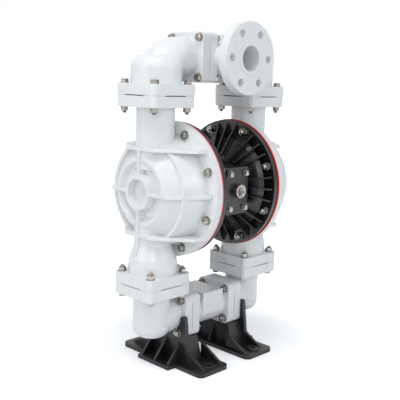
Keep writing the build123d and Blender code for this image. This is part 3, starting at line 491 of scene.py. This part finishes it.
for side in (-1, 1):
    makeDiaphragm(side)
print("diaphragms made")

# level rib at the pump axis: along from the centre tube, over the drum's edge, down to the disc
levelRib = {
    "thickness": 8, "outerEdge": [(215, 38), (213, 91), (189, 113), (156, 131), (121, 146)],
    "innerEdge": [(121, 100), (180, 100), (180, 36)],
}


def makeLevelRibs(side):
    half = levelRib["thickness"] / 2 * millimetre
    outline = levelRib["outerEdge"] + levelRib["innerEdge"]
    mesh = bmesh.new()
    for hand in (-1, 1):
        flat = [(side * x * millimetre, hand * y * millimetre) for x, y in outline]
        lower = [mesh.verts.new((x, y, pumpHeight - half)) for x, y in flat]
        upper = [mesh.verts.new((x, y, pumpHeight + half)) for x, y in flat]
        ringBridge(mesh, lower, upper)
        mesh.faces.new(list(reversed(lower)))
        mesh.faces.new(upper)
    name = "moulded_level_ribs_" + ("right" if side > 0 else "left")
    piece = finishMesh(mesh, name, finishes["white_polypropylene"], "pump")


for side in (-1, 1):
    makeLevelRibs(side)
print("level ribs made")

# turned stainless bush with a parallel pipe thread
# millimetres, then counts, then shares of the rim (collarEdge) and of the pitch (the last three)
airInlet = {
    "pitch": 1.814, "depth": 0.9, "rim": 1.2, "bore": 9.3, "shank": 13.0, "collar": 14.0,
    "threads": 9, "segments": 64, "collarEdge": 0.4, "lead": 0.3, "flat": 0.2, "crest": 0.6,
}


def makeAirInlet():
    lowest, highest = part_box("air_inlet_fitting")
    axisPoint = Vector(((lowest.x + highest.x) / 2, lowest.y, (lowest.z + highest.z) / 2))
    outer = (highest.x - lowest.x) / 2
    length = highest.y - lowest.y
    mm = {key: value * millimetre for key, value in airInlet.items()}
    bore, depth, rim, pitch = mm["bore"], mm["depth"], mm["rim"], mm["pitch"]
    shank, collar = mm["shank"], mm["collar"]
    profile = [(bore + depth + rim, 0.0), (outer - rim, 0.0), (outer, rim)]
    profile += [(outer, collar - rim), (outer - rim * airInlet["collarEdge"], collar)]
    profile += [(shank, collar), (shank, length), (bore, length)]
    thread = []
    for turnIndex in range(airInlet["threads"]):
        height = depth + pitch * (turnIndex + airInlet["lead"])
        flat, crest = height + airInlet["flat"] * pitch, height + airInlet["crest"] * pitch
        thread += [(bore, height), (bore, flat), (bore + depth, crest)]
    profile += list(reversed(thread))
    matrix = Matrix.Translation(axisPoint) @ Matrix.Rotation(math.radians(-90), 4, "X")
    mesh = bmesh.new()
    rings = latheInto(mesh, profile, airInlet["segments"], matrix)
    ringBridge(mesh, rings[-1], rings[0])
    piece = finishMesh(mesh, "turned_air_inlet", finishes["stainless_steel"], "pump")
    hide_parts("air_inlet_fitting")


makeAirInlet()
print("air inlet made")

# half its width in metres; the fade from near to far, in millimetres, starts at lift
floorSpec = {"half": 40.0, "tone": "#F8F8F8", "lift": 0.34, "near": 220, "far": 620}
plainWhite = (1, 1, 1, 1)


def surroundingRays(tree):
    # 1 for rays that show the surroundings: straight, mirrored or through a clear piece
    path = addNode(tree, "ShaderNodeLightPath")
    first = {0: path.outputs["Is Camera Ray"], 1: path.outputs["Is Glossy Ray"]}
    either = addNode(tree, "ShaderNodeMath", {"operation": "MAXIMUM"}, None, first)
    second = {0: either.outputs[0], 1: path.outputs["Is Transmission Ray"]}
    return addNode(tree, "ShaderNodeMath", {"operation": "MAXIMUM"}, None, second).outputs[0]


def makeFloor():
    mesh = bmesh.new()
    bmesh.ops.create_grid(mesh, x_segments=1, y_segments=1, size=floorSpec["half"])
    data = bpy.data.meshes.new("studioFloor")
    mesh.to_mesh(data)
    mesh.free()
    floor = bpy.data.objects.new("studioFloor", data)
    bpy.context.scene.collection.objects.link(floor)
    material = bpy.data.materials.new("paperSweep")
    material.use_nodes = True
    tree = material.node_tree
    tree.nodes.clear()
    paper = addNode(tree, "ShaderNodeBsdfDiffuse", None, {"Color": hexToLinear(floorSpec["tone"])})
    # the paper keeps its shadow round the feet and fades to plain white further out
    place = addNode(tree, "ShaderNodeTexCoord").outputs["Object"]
    reach = addNode(tree, "ShaderNodeVectorMath", {"operation": "LENGTH"}, None, {0: place})
    fade = {
        "From Min": floorSpec["near"] * millimetre, "From Max": floorSpec["far"] * millimetre,
        "To Min": floorSpec["lift"], "To Max": 1.0,
    }
    smooth = {"interpolation_type": "SMOOTHSTEP"}
    lift = addNode(tree, "ShaderNodeMapRange", smooth, fade, {"Value": reach.outputs["Value"]})
    strength = {"Strength": lift.outputs["Result"]}
    glow = addNode(tree, "ShaderNodeEmission", None, {"Color": plainWhite}, strength)
    layers = {0: paper.outputs[0], 1: glow.outputs[0]}
    both = addNode(tree, "ShaderNodeAddShader", None, None, layers)
    sides = {0: surroundingRays(tree), 1: paper.outputs[0], 2: both.outputs[0]}
    choose = addNode(tree, "ShaderNodeMixShader", None, None, sides)
    output = addNode(tree, "ShaderNodeOutputMaterial")
    tree.links.new(choose.outputs[0], output.inputs["Surface"])
    data.materials.append(material)


worldSpec = {"tone": "#DFE6F0", "fill": 0.46, "seen": 1.0}


def makeWorld():
    world = bpy.data.worlds.new("studioWorld")
    bpy.context.scene.world = world
    world.use_nodes = True
    tree = world.node_tree
    tree.nodes.clear()
    dim = {"Color": hexToLinear(worldSpec["tone"]), "Strength": worldSpec["fill"]}
    fill = addNode(tree, "ShaderNodeBackground", None, dim)
    bright = {"Color": plainWhite, "Strength": worldSpec["seen"]}
    white = addNode(tree, "ShaderNodeBackground", None, bright)
    sides = {0: surroundingRays(tree), 1: fill.outputs[0], 2: white.outputs[0]}
    choose = addNode(tree, "ShaderNodeMixShader", None, None, sides)
    output = addNode(tree, "ShaderNodeOutputWorld")
    tree.links.new(choose.outputs[0], output.inputs["Surface"])


# place and size in metres, power in watts
lamps = {
    "topSoftbox": {"place": (-0.9, -0.3, 2.4), "size": 1.2, "power": 19, "colour": "#FFFFFF"},
    "leftSoftbox": {"place": (-2.4, 0.4, 1.2), "size": 1.0, "power": 9, "colour": "#FFFFFF"},
    "frontSoftbox": {"place": (0.9, -2.5, 1.4), "size": 0.7, "power": 12, "colour": "#F4F8FF"},
    "cornerSoftbox": {"place": (-1.7, -1.7, 1.5), "size": 0.9, "power": 10, "colour": "#FFFFFF"},
}


lampTarget = (0, 0, 0.4)  # the middle of the pump


def makeLamps():
    target = Vector(lampTarget)
    for name, spec in lamps.items():
        data = bpy.data.lights.new(name, "AREA")
        data.shape = "SQUARE"
        data.size = spec["size"]
        data.energy = spec["power"]
        data.color = hexToLinear(spec["colour"])[:3]
        lamp = bpy.data.objects.new(name, data)
        lamp.location = spec["place"]
        lamp.rotation_euler = (target - lamp.location).to_track_quat("-Z", "Y").to_euler()
        bpy.context.scene.collection.objects.link(lamp)


# place in metres, angles in degrees, lens and sensor in millimetres
cameraSpec = {
    "place": (-1.23606, -1.18361, 0.68120), "yaw": 43.95, "pitch": 9.77, "roll": 1.84,
    "lens": 63.0, "sensor": 36, "farClip": 30,
}


def makeCamera():
    yaw, pitch, roll = (math.radians(cameraSpec[key]) for key in ("yaw", "pitch", "roll"))
    level = math.cos(pitch)
    ahead = Vector((math.cos(yaw) * level, math.sin(yaw) * level, -math.sin(pitch)))
    right = Vector((math.sin(yaw), -math.cos(yaw), 0))
    above = right.cross(ahead)
    tiltedRight = right * math.cos(roll) + above * math.sin(roll)
    tiltedAbove = above * math.cos(roll) - right * math.sin(roll)
    data = bpy.data.cameras.new("studioCamera")
    data.sensor_width = cameraSpec["sensor"]
    data.lens = cameraSpec["lens"]
    data.clip_end = cameraSpec["farClip"]
    camera = bpy.data.objects.new("studioCamera", data)
    turn = Matrix((tiltedRight, tiltedAbove, -ahead)).transposed().to_4x4()
    camera.matrix_world = Matrix.Translation(cameraSpec["place"]) @ turn
    bpy.context.scene.collection.objects.link(camera)
    bpy.context.scene.camera = camera


makeFloor()
makeWorld()
makeLamps()
makeCamera()
bpy.context.scene.view_settings.view_transform = "Standard"
print("floor, light and camera set")
